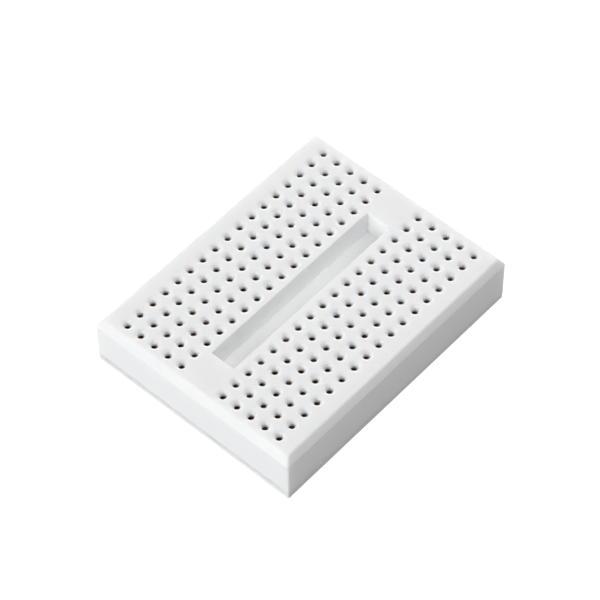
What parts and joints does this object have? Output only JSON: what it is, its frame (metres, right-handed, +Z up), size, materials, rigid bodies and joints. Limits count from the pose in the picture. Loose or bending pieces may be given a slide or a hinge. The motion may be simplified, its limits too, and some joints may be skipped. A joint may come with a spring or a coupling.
{
  "type": "solderless breadboard",
  "caption": "Small white solderless breadboard: two banks of round tie points over spring contact clips, a blind centre trough, and an adhesive foam base with its liner.",
  "frame": {"origin": "centre of the underside, on the release liner's lower face", "axes": "+X along the length, square to the columns of five linked tie points; +Y across the width, from the front bank to the back bank; +Z up, out of the face with the tie points"},
  "size_m": [0.0456, 0.0356, 0.0088],
  "materials": {
    "housing_plastic": "white injection-moulded ABS, fine satin texture",
    "contact_metal": "phosphor bronze strip with a thin dull plating",
    "pad_foam": "white closed-cell foam tape, adhesive on both sides",
    "liner_paper": "waxed release paper"
  },
  "bodies": {
    "root": {"housing": "housing_plastic", "contact_clip_front_01": "contact_metal", "contact_clip_front_02": "contact_metal", "contact_clip_front_03": "contact_metal", "contact_clip_front_04": "contact_metal", "contact_clip_front_05": "contact_metal", "contact_clip_front_06": "contact_metal", "contact_clip_front_07": "contact_metal", "contact_clip_front_08": "contact_metal", "contact_clip_front_09": "contact_metal", "contact_clip_front_10": "contact_metal", "contact_clip_front_11": "contact_metal", "contact_clip_front_12": "contact_metal", "contact_clip_front_13": "contact_metal", "contact_clip_front_14": "contact_metal", "contact_clip_front_15": "contact_metal", "contact_clip_front_16": "contact_metal", "contact_clip_front_17": "contact_metal", "contact_clip_back_01": "contact_metal", "contact_clip_back_02": "contact_metal", "contact_clip_back_03": "contact_metal", "contact_clip_back_04": "contact_metal", "contact_clip_back_05": "contact_metal", "contact_clip_back_06": "contact_metal", "contact_clip_back_07": "contact_metal", "contact_clip_back_08": "contact_metal", "contact_clip_back_09": "contact_metal", "contact_clip_back_10": "contact_metal", "contact_clip_back_11": "contact_metal", "contact_clip_back_12": "contact_metal", "contact_clip_back_13": "contact_metal", "contact_clip_back_14": "contact_metal", "contact_clip_back_15": "contact_metal", "contact_clip_back_16": "contact_metal", "contact_clip_back_17": "contact_metal", "foam_pad": "pad_foam", "release_liner": "liner_paper"}
  },
  "joints": []
}
